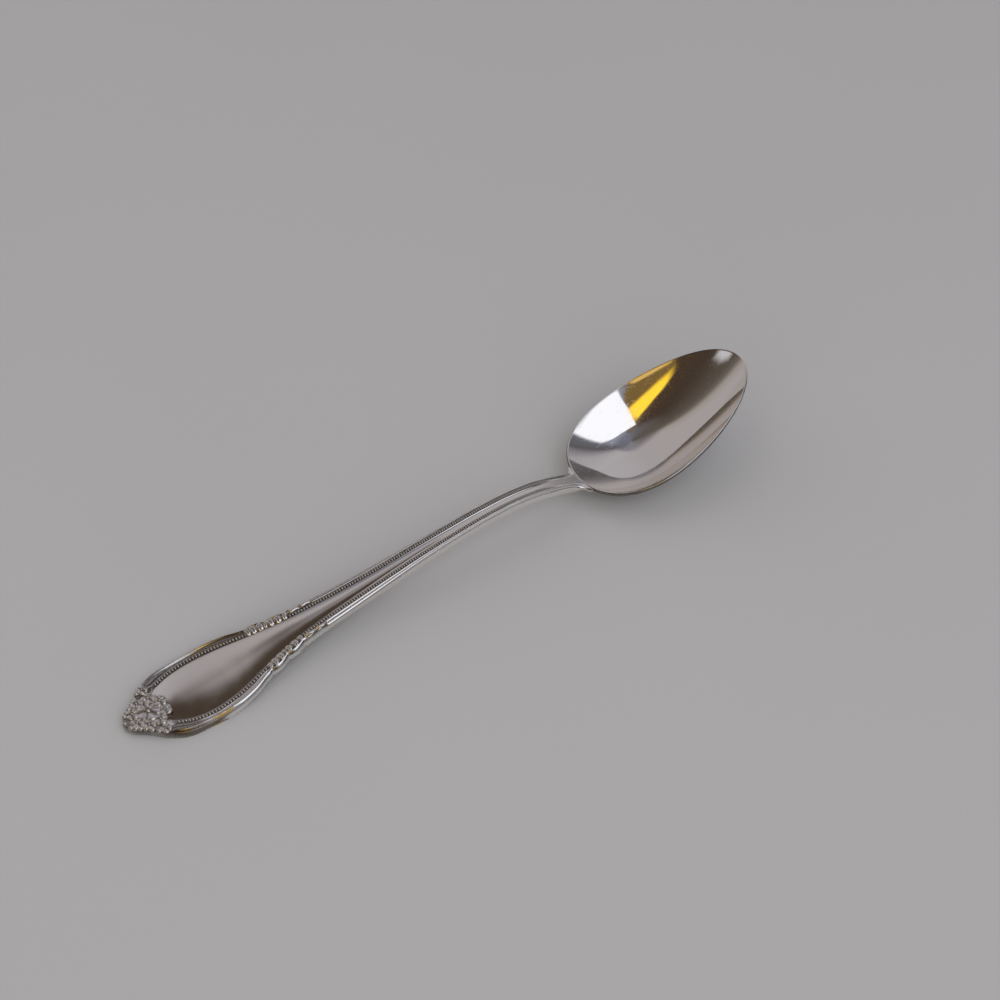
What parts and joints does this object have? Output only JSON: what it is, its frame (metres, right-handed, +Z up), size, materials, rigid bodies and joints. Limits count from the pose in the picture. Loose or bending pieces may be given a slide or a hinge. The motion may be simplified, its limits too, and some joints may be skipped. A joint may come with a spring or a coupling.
{
  "type": "teaspoon",
  "caption": "Silver-plated teaspoon: egg-shaped bowl, arched stem and a widening handle with a beaded border and blossom ornament.",
  "frame": {"origin": "on the table the spoon lies on, under the middle of its bounding box", "axes": "+X along the spoon from the tip of the handle to the tip of the bowl, +Y to the left of someone who looks along +X, +Z up out of the table and out of the bowl's hollow"},
  "size_m": [0.154, 0.0282, 0.019],
  "materials": {
    "plate_bright": "polished silver plate with fine wear scratches",
    "plate_field": "polished silver plate, softly scuffed in the dished field",
    "plate_relief": "polished silver plate with dark tarnish in the hollows of the relief"
  },
  "bodies": {
    "root": {"bowl": "plate_bright", "neck": "plate_bright", "stem": "plate_field", "panel": "plate_field", "left_border": "plate_bright", "right_border": "plate_bright", "left_beads": "plate_relief", "right_beads": "plate_relief", "left_reeds": "plate_bright", "right_reeds": "plate_bright", "left_scroll": "plate_relief", "right_scroll": "plate_relief", "left_spray": "plate_relief", "right_spray": "plate_relief", "tip_rosette": "plate_relief", "tip_blossoms": "plate_relief", "tip_berries": "plate_relief"}
  },
  "joints": []
}
